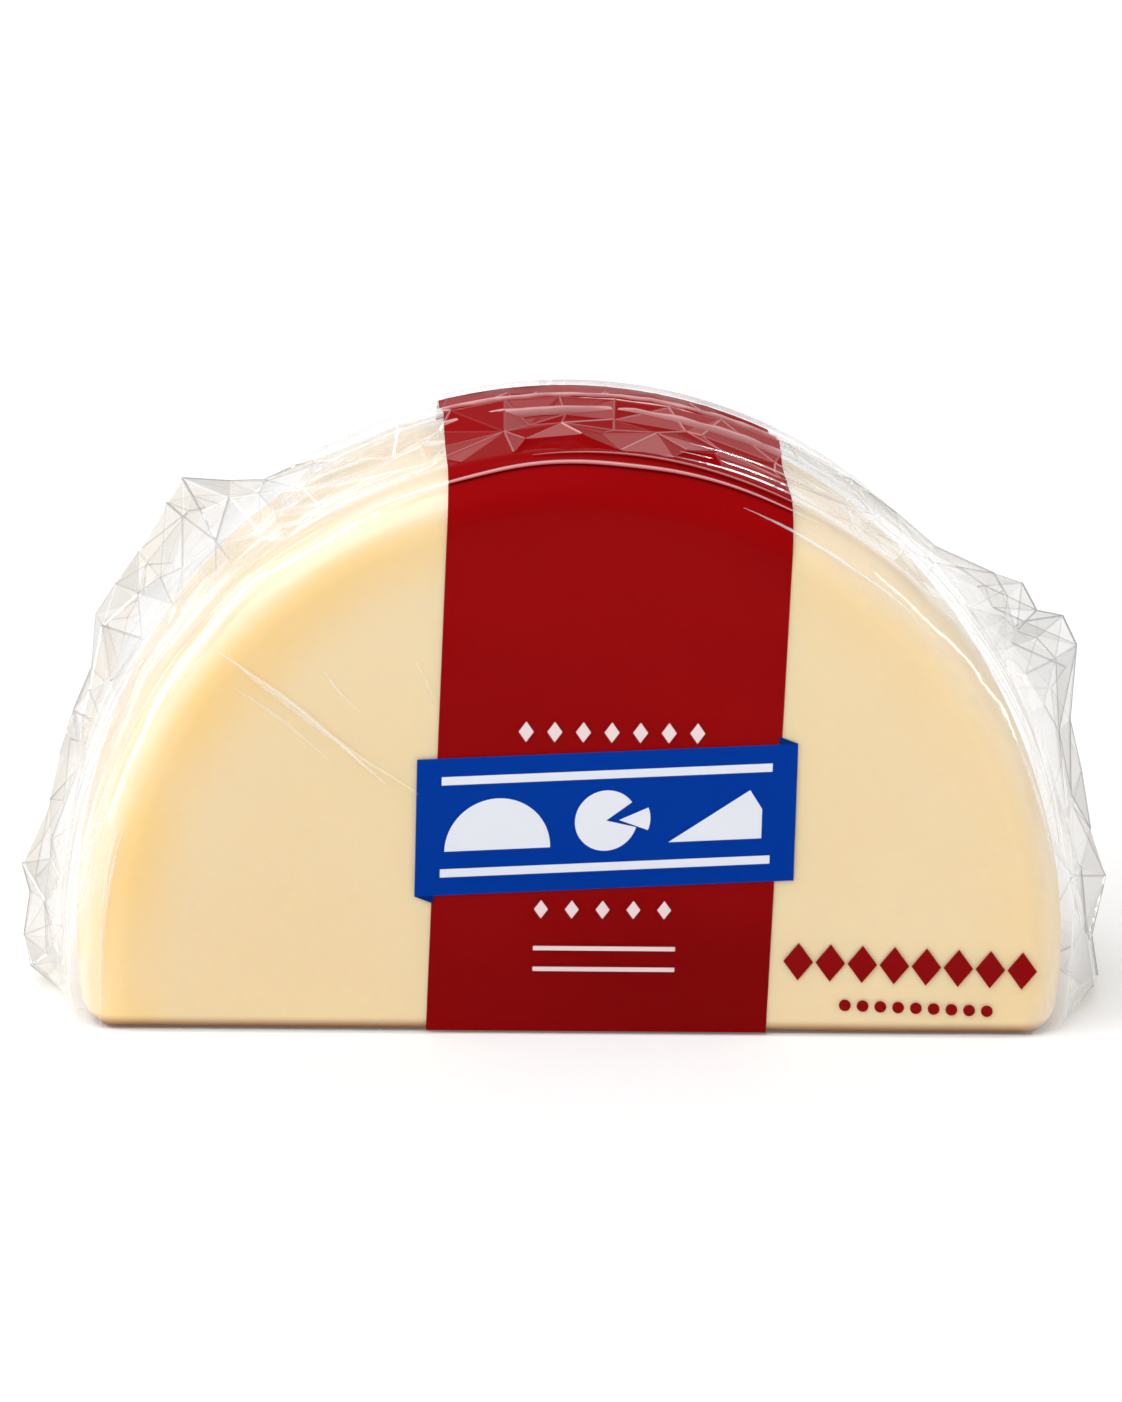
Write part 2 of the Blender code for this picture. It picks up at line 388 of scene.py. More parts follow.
def print_material(name, colour, deep, pale, gloss=0.003, coat=0.0):
    """Print on the film: a field of colour that is deeper in random places and, as painted shade, lower
    down, with pinker facets as painted reflection and paler lines along the creases as painted highlight.
    """
    nodes = Nodes(name)
    tone_and_low_shade = nodes.ramp(nodes.noise(18.0, stretch=(0.5, 1.0, 1.6), detail=3.0), 0.3, 0.75)
    height = nodes.add("SeparateXYZ", Vector=nodes.add("TexCoord").outputs["Object"]).outputs["Z"]
    # Painted shade: the print is painted deeper towards the bottom, where less light falls from above.
    painted_low_shade = nodes.ramp(height, 0.080, 0.010)
    tone_and_low_shade = nodes.math("MULTIPLY_ADD", tone_and_low_shade, 0.5, nodes.math("MULTIPLY", painted_low_shade, 0.5))
    shade = nodes.mix(tone_and_low_shade, colour, deep)
    crease = nodes.attribute("crease")
    haze = nodes.attribute("haze")
    # Painted reflection and highlight: facets paler by the square of their haze, and paler lines along the
    # creases.
    veil = nodes.math("MULTIPLY", haze, haze)
    lines = nodes.math("MULTIPLY", crease, 0.75)
    painted_sheen = nodes.math("MULTIPLY_ADD", veil, 0.18, lines, clamped=True)
    shade = nodes.mix(painted_sheen, shade, pale)
    waves = nodes.bump(nodes.noise(55.0, stretch=(0.45, 1.0, 2.2), detail=3.0), 0.0006, 0.45)
    shader = nodes.add("BsdfPrincipled", Base_Color=shade, Roughness=0.24, Normal=waves)
    shader.inputs["Specular IOR Level"].default_value = gloss
    shader.inputs["Coat Weight"].default_value = coat
    shader.inputs["Coat Roughness"].default_value = 0.08
    return nodes.finish(shader.outputs[0])


def floor_material():
    """A pale floor that glows a little, so that it stays even far from the object."""
    nodes = Nodes("floor")
    cloud = nodes.ramp(nodes.noise(3.0), 0.2, 0.8)
    colour = nodes.mix(cloud, (0.805, 0.805, 0.805), (0.815, 0.815, 0.815))
    shader = nodes.add("BsdfPrincipled", Base_Color=colour, Roughness=0.9)
    shader.inputs["Specular IOR Level"].default_value = 0.0
    shader.inputs["Emission Color"].default_value = (1.0, 1.0, 1.0, 1.0)
    shader.inputs["Emission Strength"].default_value = 0.12
    return nodes.finish(shader.outputs[0])


# Shape helpers


def with_layers(bm):
    """Gives a sheet the values that the film and print materials read: all 0 but the veil, which is 1.

    A face made later starts with 0 for all of them, the veil too.
    """
    # The crease value sets how strongly the materials paint a crease's line: painted shade and highlight
    # in the film, painted highlight in the print.
    for name in ("crease", "veil", "tight"):
        layer = bm.loops.layers.float.new(name)
        for face in bm.faces:
            for loop in face.loops:
                loop[layer] = 1.0 if name == "veil" else 0.0
    bm.faces.layers.float.new("haze")
    return bm


def set_loops(bm, face, name, values):
    layer = bm.loops.layers.float[name]
    for loop, value in zip(face.loops, values):
        loop[layer] = value


def piece_from(bm, name, surface, smooth=True):
    mesh = bpy.data.meshes.new(name)
    bm.to_mesh(mesh)
    bm.free()
    if smooth:
        mesh.shade_smooth()
    mesh.materials.append(surface)
    piece = bpy.data.objects.new(name, mesh)
    bpy.context.scene.collection.objects.link(piece)
    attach(piece, "root")
    return piece


def rim_point(radius, angle):
    """(x, z) at this distance from the wheel's axis, on the stretched circle."""
    return (
        radius * math.cos(angle),
        CUT_BELOW_CENTRE + WHEEL_STRETCH * radius * math.sin(angle),
    )


def crown_inset(y):
    return RIM_CROWN * min(abs(y) / FLANK, 1.0) ** 2


def outline(inset, cut_inset):
    """The half wheel's outline, as (x, z) points: an arc, two rounded corners and the cut side."""
    radius = WHEEL_RADIUS - inset
    corner = max(CUT_CORNER - inset, LEAST_CORNER)
    corner_height = cut_inset / WHEEL_STRETCH + corner
    drop = CUT_BELOW_CENTRE / WHEEL_STRETCH - corner_height
    reach = math.sqrt((radius - corner) ** 2 - drop**2)
    start = -math.asin(drop / (radius - corner))

    def corner_arc(side, first, last):
        for i in range(1, CORNER_STEPS):
            angle = first + (last - first) * i / CORNER_STEPS
            x = side * reach + corner * math.cos(angle)
            yield x, (corner_height + corner * math.sin(angle)) * WHEEL_STRETCH

    points = [(reach, cut_inset)]
    points += corner_arc(1, -math.pi / 2, start)
    for i in range(ARC_STEPS + 1):
        points.append(rim_point(radius, start + (math.pi - 2 * start) * i / ARC_STEPS))
    points += corner_arc(-1, math.pi - start, math.pi * 1.5)
    for i in range(CUT_STEPS):
        points.append((reach * (2 * i / CUT_STEPS - 1), cut_inset))
    return points


def cut_inset_at(y):
    past = max(abs(y) - (THICKNESS / 2 - CUT_EDGE), 0.0)
    return CUT_EDGE - math.sqrt(max(CUT_EDGE**2 - past**2, 0.0))


def shoulder_rings():
    """(y, rim inset) from the flat face to the rim, over one shoulder."""
    rings = []
    for i in range(SHOULDER_STEPS + 1):
        angle = math.pi / 2 * (1 - i / SHOULDER_STEPS)
        y = FLANK + SHOULDER * math.sin(angle)
        rings.append((y, RIM_CROWN + SHOULDER * (1 - math.cos(angle))))
    return rings


def shrunk(ring, share):
    """The ring drawn in towards the middle of the face."""
    x0, z0 = FACE_MIDDLE
    return [(x0 + (x - x0) * share, y, z0 + (z - z0) * share) for x, y, z in ring]


def cap_rings(edge):
    """Rings from near the middle of a flat face out to its edge, which is left out."""
    return [shrunk(edge, share) for share in CAP_SHARES]


def skin_loft(rings, closed_end=True):
    """A skin through the rings, closed at the first one and, if wanted, at the last."""
    bm = bmesh.new()
    loops = [[bm.verts.new(point) for point in ring] for ring in rings]
    for first, second in zip(loops, loops[1:]):
        for i in range(len(first)):
            j = (i + 1) % len(first)
            bm.faces.new((first[i], first[j], second[j], second[i]))
    bm.faces.new(loops[0][::-1])
    if closed_end:
        bm.faces.new(loops[-1])
    bmesh.ops.recalc_face_normals(bm, faces=bm.faces)
    return bm


def uneven(bm, size, scale, seed):
    """Moves each point a little along its normal, by smooth noise."""
    bm.normal_update()
    away = Vector((seed * 7.3, seed * 3.1, seed * 5.7))
    for vert in bm.verts:
        vert.co += vert.normal * size * noise.noise(vert.co * scale + away)


# The cheese


def make_cheese():
    section = [(-y, inset) for y, inset in shoulder_rings()]
    for i in range(1, FLANK_STEPS):
        y = FLANK * (2 * i / FLANK_STEPS - 1)
        section.append((y, crown_inset(y)))
    section += shoulder_rings()[::-1]
    rings = []
    for y, inset in section:
        rings.append([(x, y, z) for x, z in outline(inset, cut_inset_at(y))])
    rings = cap_rings(rings[0]) + rings + cap_rings(rings[-1])[::-1]
    bm = skin_loft(rings)
    uneven(bm, 0.2 * MM, 28.0, 1)
    for vert in bm.verts:
        vert.co.z = max(vert.co.z, 0.0)
    cheese = piece_from(bm, "cheese_body", cheese_material())
    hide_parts("cheese")
    return cheese


# The crumpled rim film


def skin_at(angle, along):
    """The skin's point and outward direction, this far along its section from mid rim."""
    side = math.copysign(1.0, along)
    if abs(along) <= FLANK:
        radius, y, turn = WHEEL_RADIUS - crown_inset(along), along, 0.0
    else:
        turn = (abs(along) - FLANK) / SHOULDER
        radius = WHEEL_RADIUS - RIM_CROWN - SHOULDER * (1 - math.cos(turn))
        y = side * (FLANK + SHOULDER * math.sin(turn))
    x, z = rim_point(radius, angle)
    flat = math.cos(turn)
    outward = Vector((math.cos(angle) * flat, side * math.sin(turn), math.sin(angle) * flat))
    return Vector((x, y, z)), outward


def film_point(angle, along, lift):
    """The point this far off the skin, kept above the floor."""
    point, outward = skin_at(angle, along)
    point = point + outward * lift
    point.z = max(point.z, 0.1 * MM)
    return point


def film_lift(degrees, share):
    """The sheet's height over the skin before crumpling: tight profile, or the ear's tent."""
    tight = between(TIGHT_PROFILE, share)
    ridge = between(FILM_RIDGE, degrees)
    tent = 0.3 + ridge * (1 - abs(share)) ** TENT_POWER
    if ridge < LOW_RIDGE:
        tent = 0.3 + ridge * max(1 - abs(share) * 4.0, 0.0)
    return max(tight, tent) * MM


def tightness(lift):
    return clamp((LOOSE_HEIGHT - lift) / LOOSE_FADE)


def in_ear(degrees):
    return any(low <= degrees <= high for low, high in EAR_RANGES)


def film_columns():
    columns = []
    for (a, _), (b, _) in zip(FILM_RIDGE, FILM_RIDGE[1:]):
        step = EAR_STEP if in_ear((a + b) / 2) else TOP_STEP
        count = max(1, round((b - a) / step))
        columns += [a + (b - a) * i / count for i in range(count)]
    return columns + [FILM_RIDGE[-1][0]]


def crumple_size(degrees, share):
    """How far a facet's corner may be from the smooth sheet."""
    near_face = clamp((abs(share) - 0.42) / 0.28)
    size = EAR_CRUMPLE if in_ear(degrees) else TOP_CRUMPLE
    return (size * (1 - near_face) + 0.15 * (1 - abs(share))) * MM


def film_rows(degrees):
    """Each row's share of the section from front to back, and how far it may shift."""
    half = EAR_ROWS if in_ear(degrees) else TOP_ROWS
    rows = []
    for before, share, after in zip((0.0,) + half, half, half[1:] + (None,)):
        room = 0.0 if after is None else ROW_SHIFT * min(share - before, after - share)
        rows += [(-share, room), (share, room)]
    return rows


class FilmSites:
    """The facets' corners: a place in the flat plan of the sheet, and a point in space."""

    def __init__(self, rng):
        self.rng = rng
        self.columns = film_columns()
        self.places = []
        self.points = []
        self.outwards = []
        self.tight = []
        self.fold = []
        for i in range(len(self.columns)):
            self.add_column(i)

    def angle_at(self, column):
        whole = min(max(int(column), 0), len(self.columns) - 2)
        low, high = self.columns[whole], self.columns[whole + 1]
        return low + (high - low) * (column - whole)

    def add_column(self, i):
        inside = 0 < i < len(self.columns) - 1
        share = self.rng.uniform(-0.05, 0.05)
        degrees = self.columns[i]
        self.fold.append(len(self.places))
        self.add(i, degrees, share, (0.85 + between(FILM_RIDGE, degrees)) * MM)
        for row, room in film_rows(degrees):
            free = inside and room > 0
            column = i + (self.rng.uniform(-COLUMN_SHIFT, COLUMN_SHIFT) if free else 0.0)
            share = row + self.rng.uniform(-room, room)
            here = self.angle_at(column)
            crumple = crumple_size(here, share) if free else 0.0
            lift = film_lift(here, share) + self.rng.uniform(-1.0, 1.0) * crumple
            self.add(column, here, share, max(lift, LEAST_LIFT))

    def add(self, column, degrees, share, lift):
        angle = math.radians(degrees)
        along = share * HALF_SECTION
        self.places.append(Vector((column, share * ROW_SCALE)))
        self.points.append(film_point(angle, along, lift))
        self.outwards.append(skin_at(angle, along)[1])
        self.tight.append(tightness(lift))

    def share(self, v):
        """How far from mid rim a corner is, from 0 to 1 at a flat face."""
        return abs(self.places[v].y) / ROW_SCALE

    def triangles(self):
        """Facets between the corners, with the ridge kept as one unbroken fold."""
        found = delaunay_2d_cdt(self.places, list(zip(self.fold, self.fold[1:])), [], 0, 1e-6)
        original = [origin[0] for origin in found[3]]
        return [tuple(original[v] for v in reversed(face)) for face in found[2]]


def facet_inset(corners):
    """The facet drawn in from its three sides by the crease's width."""
    a, b, c = corners
    sides = ((b - c).length, (c - a).length, (a - b).length)
    around = sum(sides)
    middle = (a * sides[0] + b * sides[1] + c * sides[2]) / around
    area = (b - a).cross(c - a).length / 2
    inner_radius = max(2 * area / around, 1e-6)
    share = min(CREASE_WIDTH / inner_radius, 0.45)
    return [corner.lerp(middle, share) for corner in corners]


def crumpled_sheet(rng):
    """Flat facets, each ringed by narrow raised creases of its own strength."""
    sites = FilmSites(rng)
    points = sites.points
    outwards = sites.outwards
    bm = with_layers(bmesh.new())
    haze_layer = bm.faces.layers.float["haze"]
    strengths = {}
    verts = {}

    def strength(first, second):
        """How sharp the crease between two corners is: 0 where the sheet lies smooth."""
        key = (min(first, second), max(first, second))
        if key not in strengths:
            calm = clamp((min(sites.share(v) for v in key) - CALM_START) / CALM_RANGE)
            strengths[key] = 0.0 if calm == 1.0 else (0.05 + rng.random() ** 2.0) * (1 - calm)
        return strengths[key]

    def raised(corner, first, second):
        """The crease's own vertex at one corner, or the corner's shared one if there is no crease."""
        firm = strength(first, second)
        key = (corner, min(first, second), max(first, second)) if firm else corner
        if key not in verts:
            rise = CREASE_RAISE * min(firm * 3, 1.0)
            verts[key] = bm.verts.new(points[corner] + outwards[corner] * rise)
        return verts[key]

    def finish_face(face, smooth, haze, values, owners):
        face[haze_layer] = haze
        face.smooth = smooth
        set_loops(bm, face, "crease", values)
        set_loops(bm, face, "veil", (1.0,) * len(owners))
        set_loops(bm, face, "tight", [sites.tight[v] for v in owners])

    for triangle in sites.triangles():
        behind = sum(sites.places[v].y for v in triangle) > 0
        haze = rng.random() ** 1.5 * (0.5 if behind else 1.0)
        sides = [(triangle[k], triangle[(k + 1) % 3]) for k in range(3)]
        if not any(strength(a, b) for a, b in sides):
            face = bm.faces.new([raised(v, v, sides[k][1]) for k, v in enumerate(triangle)])
            finish_face(face, True, haze * 0.15, (0.0,) * 3, triangle)
            continue
        inner = [bm.verts.new(point) for point in facet_inset([points[v] for v in triangle])]
        finish_face(bm.faces.new(inner), False, haze, (0.0,) * 3, triangle)
        for k, (a, b) in enumerate(sides):
            m = (k + 1) % 3
            c = triangle[(k + 2) % 3]
            firm = strength(a, b)
            first, second, other = raised(a, a, b), raised(b, a, b), raised(a, a, c)
            strip = bm.faces.new((first, second, inner[m], inner[k]))
            finish_face(strip, False, haze, (firm, firm, 0.0, 0.0), (a, b, b, a))
            if other is not first:
                corner = bm.faces.new((inner[k], other, first))
                finish_face(corner, False, haze, (0.0, strength(a, c), firm), (a, a, a))
    return bm


def smooth_sheet(side):
    """The film over one shoulder, from under the facets' last row to the flat face."""
    bm = with_layers(bmesh.new())
    haze_layer = bm.faces.layers.float["haze"]
    first, last = FILM_RIDGE[0][0], FILM_RIDGE[-1][0]
    columns = []
    for i in range(SMOOTH_COLUMNS + 1):
        degrees = first + (last - first) * i / SMOOTH_COLUMNS
        column = []
        for k in range(SMOOTH_ROWS + 1):
            share = SMOOTH_START + (1 - SMOOTH_START) * k / SMOOTH_ROWS
            start = clamp((share - SMOOTH_START) / (FACETS_END - SMOOTH_START))
            lift = film_lift(degrees, side * share) - 0.4 * MM * (1 - start)
            veil = start * clamp((1.0 - share) / VEIL_FADE)
            point = film_point(math.radians(degrees), side * share * HALF_SECTION, lift)
            column.append((bm.verts.new(point), veil, tightness(lift)))
        columns.append(column)
    for before, after in zip(columns, columns[1:]):
        for k in range(SMOOTH_ROWS):
            corners = (before[k], before[k + 1], after[k + 1], after[k])[::side]
            face = bm.faces.new([corner[0] for corner in corners])
            face.smooth = True
            face[haze_layer] = 0.06
            set_loops(bm, face, "veil", [corner[1] for corner in corners])
            set_loops(bm, face, "tight", [corner[2] for corner in corners])
    return bm


def seam_strip(rng):
    """The bag's seam, a flat fin along the rim over the top, with three pressed lines."""
    # Place across the rim and height over the skin, in millimetres, and crease.
    profile = (
        (-4.6, 2.2, 0.0),
        (-4.1, 4.4, 0.7),
        (-3.2, 4.6, 0.7),
        (-2.7, 3.9, 0.0),
        (1.2, 4.1, 0.0),
        (1.7, 4.9, 1.0),
        (2.9, 5.0, 1.0),
        (3.3, 4.2, 0.0),
        (6.6, 4.5, 0.0),
        (7.1, 5.2, 0.8),
        (8.0, 5.2, 0.8),
        (8.5, 4.5, 0.0),
        (12.5, 3.6, 0.0),
    )
    fade_steps = 7
    bm = with_layers(bmesh.new())
    haze_layer = bm.faces.layers.float["haze"]
    rows = []
    for i in range(SEAM_STEPS + 1):
        degrees = SEAM_START + SEAM_SWEEP * i / SEAM_STEPS
        angle = math.radians(degrees)
        wander = 1.3 * MM * noise.noise(Vector((degrees * 0.09, 2.0, 0.0)))
        fade = clamp(min(i, SEAM_STEPS - i) / fade_steps)
        row = []
        for along, lift, _ in profile:
            ripple = 0.35 * MM * noise.noise(Vector((degrees * 0.4, along, 5.0)))
            height = (1.0 + (lift - 1.0) * fade) * MM + ripple
            row.append(bm.verts.new(film_point(angle, along * MM + wander, height)))
        rows.append(row)
    for first, second in zip(rows, rows[1:]):
        haze = 0.2 * rng.random()
        for k in range(len(profile) - 1):
            face = bm.faces.new((first[k], first[k + 1], second[k + 1], second[k]))
            face[haze_layer] = haze
            here, there = profile[k][2], profile[k + 1][2]
            set_loops(bm, face, "crease", (here, there, there, here))
            set_loops(bm, face, "veil", (1.0,) * 4)
            set_loops(bm, face, "tight", (1.0,) * 4)
    return bm


def band_planes():
    """Each side of the band: a point on its plane and the direction away from the band."""
    for side in (-1, 1):
        edge = Vector((BAND_MIDDLE + side * BAND_WIDTH / 2, 0, BANNER_MIDDLE[1]))
        outward = Vector((math.cos(BAND_LEAN), 0, -math.sin(BAND_LEAN))) * side
        yield edge, outward


def cut(bm, point, normal):
    """Cuts away what lies on the normal's side of a plane."""
    whole = bm.verts[:] + bm.edges[:] + bm.faces[:]
    bmesh.ops.bisect_plane(bm, geom=whole, plane_co=point, plane_no=normal, clear_outer=True)


def inside_band(bm):
    part = bm.copy()
    for edge, outward in band_planes():
        cut(part, edge, outward)
    return part


def outside_band(bm):
    """The parts of a sheet on the two sides of the band."""
    for edge, outward in band_planes():
        part = bm.copy()
        cut(part, edge, -outward)
        yield part


def joined(parts):
    """One bmesh from several that have the same layers."""
    whole = bmesh.new()
    for part in parts:
        mesh = bpy.data.meshes.new("part")
        part.to_mesh(mesh)
        part.free()
        whole.from_mesh(mesh)
        bpy.data.meshes.remove(mesh)
    return whole


def face_sheet(side, lift):
    """The film or print where it lies on one flat face: rings out to where the shoulder starts."""
    y = side * (THICKNESS / 2 + lift)
    edge = [(x, y, z) for x, z in outline(RIM_CROWN + SHOULDER, 0.0)]
    rings = cap_rings(edge) + [edge]
    return with_layers(skin_loft(rings, closed_end=False))


def make_band(rim_sheet, seam, folds):
    # pale is the colour of the print's painted reflection on its facets and painted highlight along its
    # creases.
    red, deep, pale = (0.305, 0.002, 0.003), (0.20, 0.0012, 0.0018), (0.90, 0.58, 0.58)
    flat_red = print_material("band_red", red, deep, pale)
    rim_red = print_material("band_red_rim", red, deep, pale, coat=0.07)
    rim = joined([inside_band(sheet) for sheet in (rim_sheet, seam, folds)])
    for face in rim.faces:
        face.material_index = 0 if face.smooth else 1
    parts = [rim]
    for side in (-1, 1):
        parts.append(inside_band(face_sheet(side, BAND_LIFT)))
    bm = joined(parts)
    cut(bm, Vector((0, 0, BAND_FOOT)), Vector((0, 0, -1)))
    band = piece_from(bm, "printed_band", flat_red, smooth=False)
    band.data.materials.append(rim_red)
    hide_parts("print_band")
    return band


def fainter(bm, share):
    """Weakens the painted lines along every crease of a sheet."""
    layer = bm.loops.layers.float["crease"]
    for face in bm.faces:
        for loop in face.loops:
            loop[layer] *= share


def make_film(rim_sheet, seam):
    clear_seam = seam.copy()
    fainter(clear_seam, 0.3)
    parts = list(outside_band(rim_sheet)) + list(outside_band(clear_seam))
    clear_seam.free()
    film = piece_from(joined(parts), "bag_rim_film", film_material(), smooth=False)
    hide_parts("film_wrap")
    return film


def base_sheet():
    """The film under the cut side."""
    bm = bmesh.new()
    half = WHEEL_RADIUS - CUT_CORNER
    edge = THICKNESS / 2 - 1 * MM
    z = -0.2 * MM
    columns = 24
    rows = []
    for i in range(columns + 1):
        x = half * (2 * i / columns - 1)
        rows.append([bm.verts.new((x, y, z)) for y in (-edge, 0.0, edge)])
    for first, second in zip(rows, rows[1:]):
        for k in range(2):
            bm.faces.new((first[k], first[k + 1], second[k + 1], second[k]))
    return with_layers(bm)


def face_creases():
    """The few straight creases in the tight film, upper left on the front."""
    bm = with_layers(bmesh.new())
    face_crease(bm, (-0.0725, 0.0780), (-0.0383, 0.0507), 0.0012, 0.7, width=1.1 * MM)
    face_crease(bm, (-0.0705, 0.0768), (-0.0318, 0.0490), -0.0008, 0.4, width=1.2 * MM)
    face_crease(bm, (-0.0690, 0.0705), (-0.0500, 0.0560), 0.0008, 0.25, width=1.3 * MM)
    face_crease(bm, (-0.0510, 0.0740), (-0.0440, 0.0660), -0.0004, 0.3, width=1.0 * MM)
    face_crease(bm, (-0.0330, 0.0760), (-0.0290, 0.0670), 0.0004, 0.2, width=1.0 * MM)
    return bm


def make_skins():
    parts = [base_sheet(), face_creases()]
    for side in (-1, 1):
        parts.append(face_sheet(side, FILM_LIFT))
    bm = joined(parts)
    skins = piece_from(bm, "bag_face_film", skin_material())
    return skins


# The banner and the printed marks


def on_banner(x, z):
    middle_x, middle_z = BANNER_MIDDLE
    return middle_x + x, middle_z + z + BANNER_SLOPE * x


def flat_shapes(name, shapes, lift, surface):
    """Flat shapes on the printed front, each an outline of (x, z) points."""
    bm = bmesh.new()
    y = -(THICKNESS / 2 + lift)
    for shape in shapes:
        bm.faces.new([bm.verts.new((x, y, z)) for x, z in shape])
    bmesh.ops.recalc_face_normals(bm, faces=bm.faces)
    for face in bm.faces:
        if face.normal.y > 0:
            face.normal_flip()
    piece = piece_from(with_layers(bm), name, surface, smooth=False)
    solidify = piece.modifiers.new("thickness", "SOLIDIFY")
    solidify.thickness = SHEET
    solidify.offset = -1.0
    return piece


def make_banner():
    half_width = BANNER_WIDTH / 2
    half_height = BANNER_HEIGHT / 2
    blue = print_material("banner_blue", (0.0, 0.040, 0.34), (0.0, 0.032, 0.29), (0.35, 0.45, 0.75))
    dark = print_material("banner_tail", (0.0, 0.022, 0.17), (0.0, 0.017, 0.13), (0.2, 0.3, 0.5))
    corners = [
        on_banner(-half_width, half_height),
        on_banner(-half_width, -half_height),
        on_banner(half_width, -half_height),
        on_banner(half_width, half_height),
    ]
    banner = flat_shapes("banner", [corners], BANNER_LIFT, blue)
    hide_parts("print_banner")
    tails = []
    for side in (-1, 1):
        edge = side * half_height
        tail = [
            on_banner(side * half_width, edge),
            on_banner(side * (half_width - TAIL_LENGTH), edge + side * TAIL_DROP),
            on_banner(side * (half_width - TAIL_LENGTH), edge),
        ]
        tails.append(tail)
    flat_shapes("banner_tails", tails, BANNER_LIFT - 0.05 * MM, dark)


def bar(x0, x1, z0, z1):
    return [(x0, z0), (x1, z0), (x1, z1), (x0, z1)]


def lozenge(x, z, width, height):
    return [(x - width / 2, z), (x, z - height / 2), (x + width / 2, z), (x, z + height / 2)]


def disc(x, z, radius, start=0.0, turn=360.0, steps=40):
    """A disc, or a slice of one with its point at the middle."""
    points = []
    for i in range(steps + (turn < 360.0)):
        angle = math.radians(start + turn * i / steps)
        points.append((x + radius * math.cos(angle), z + radius * math.sin(angle)))
    if turn not in (180.0, 360.0):
        points.append((x, z))
    return points


def row_of(shape, count, x0, x1):
    """The same shape in even steps between two places."""
    return [shape(x0 + (x1 - x0) * i / (count - 1)) for i in range(count)]


def banner_marks():
    """Two plain rules, with a half wheel, a wheel with its slice out and a wedge between them."""
    shapes = [
        bar(-0.0328, 0.0328, 0.0086, 0.0103),
        bar(-0.0328, 0.0328, -0.0103, -0.0086),
        disc(-0.0215, -0.0050, 0.0105, 0.0, 180.0),
        disc(0.0000, 0.0000, 0.0062, 35.0, 310.0),
        disc(0.0026, 0.0000, 0.0062, -22.0, 44.0),
        [(0.0125, -0.0050), (0.0310, -0.0050), (0.0310, 0.0010), (0.0285, 0.0050)],
    ]
    return [[on_banner(x, z) for x, z in shape] for shape in shapes]


def make_marks():
    white = print_material("print_white", (0.80, 0.82, 0.88), (0.74, 0.76, 0.84), (0.9, 0.9, 0.9))
    pink = print_material("print_pale", (0.86, 0.72, 0.72), (0.80, 0.64, 0.64), (0.9, 0.8, 0.8))
    dark = print_material("print_dark_red", (0.30, 0.004, 0.006), (0.24, 0.003, 0.004), (0.5, 0.1, 0.1))
    flat_shapes("banner_marks", banner_marks(), MARKS_LIFT, white)
    middle = 0.0058
    pale_shapes = row_of(lambda x: lozenge(x, 0.0620, 0.0030, 0.0042), 7, -0.0108, 0.0232)
    pale_shapes += row_of(lambda x: lozenge(x, 0.0256, 0.0028, 0.0038), 5, -0.0070, 0.0176)
    pale_shapes.append(bar(middle - 0.0142, middle + 0.0142, 0.0171, 0.0180))
    pale_shapes.append(bar(middle - 0.0142, middle + 0.0142, 0.0128, 0.0137))
    flat_shapes("band_marks", pale_shapes, MARKS_LIFT, pink)
    slope = -0.035

    def sloped(x, z):
        return x, z + slope * (x - 0.0686)

    shapes = row_of(lambda x: lozenge(x, 0.0143, 0.0060, 0.0078), 8, 0.0448, 0.0900)
    shapes += row_of(lambda x: disc(x, 0.0056, 0.0012, steps=20), 9, 0.0545, 0.0832)
    shapes = [[sloped(*point) for point in shape] for shape in shapes]
    flat_shapes("face_marks", shapes, BANNER_LIFT, dark)


# Creases


def crease_line(bm, points, outward, width, height, strength):
    """A low sharp fold through the points, thinning out at both ends."""
    count = len(points)
    rows = []
    for i, point in enumerate(points):
        ahead = points[min(i + 1, count - 1)] - points[max(i - 1, 0)]
        across = ahead.cross(outward[i]).normalized()
        taper = math.sin(math.pi * (i + 0.35) / (count - 0.3)) ** 0.6
        left = bm.verts.new(point - across * width / 2 * taper)
        top = bm.verts.new(point + outward[i] * height * taper)
        right = bm.verts.new(point + across * width / 2 * taper)
        rows.append((left, top, right, taper))
    for first, second in zip(rows, rows[1:]):
        for k in range(2):
            face = bm.faces.new((first[k], first[k + 1], second[k + 1], second[k]))
            values = (0.0, strength, strength, 0.0) if k == 0 else (strength, 0.0, 0.0, strength)
            set_loops(bm, face, "crease", values)
            set_loops(bm, face, "veil", (1.0,) * 4)
            set_loops(bm, face, "tight", (1.0,) * 4)


def face_crease(bm, start, end, bow, strength, width):
    """A crease in the tight film on the front face, from one (x, z) to another."""
    points = []
    steps = 24
    run = Vector((end[0] - start[0], end[1] - start[1]))
    across = Vector((-run.y, run.x)).normalized()
    for i in range(steps + 1):
        share = i / steps
        place = Vector(start) + run * share + across * bow * math.sin(math.pi * share)
        place += across * 0.25 * MM * noise.noise(Vector((share * 6.0, start[0] * 900, 0.0)))
        points.append(Vector((place.x, -(THICKNESS / 2 + FILM_LIFT), place.y)))
    outward = [Vector((0, -1, 0))] * len(points)
    crease_line(bm, points, outward, width, 0.22 * MM, strength)


def rim_crease(bm, first, last, along, lift, strength, width=0.8 * MM, height=0.3 * MM):
    """A crease along the rim, between two angles in degrees."""
    steps = max(8, int(abs(last - first) / 1.5))
    points = []
    outward = []
    for i in range(steps + 1):
        degrees = first + (last - first) * i / steps
        wander = 1.6 * MM * noise.noise(Vector((degrees * 0.06, along * 900, 1.0)))
        angle = math.radians(degrees)
        points.append(film_point(angle, along + wander, lift))
        outward.append(skin_at(angle, along + wander)[1])
    crease_line(bm, points, outward, width, height, strength)


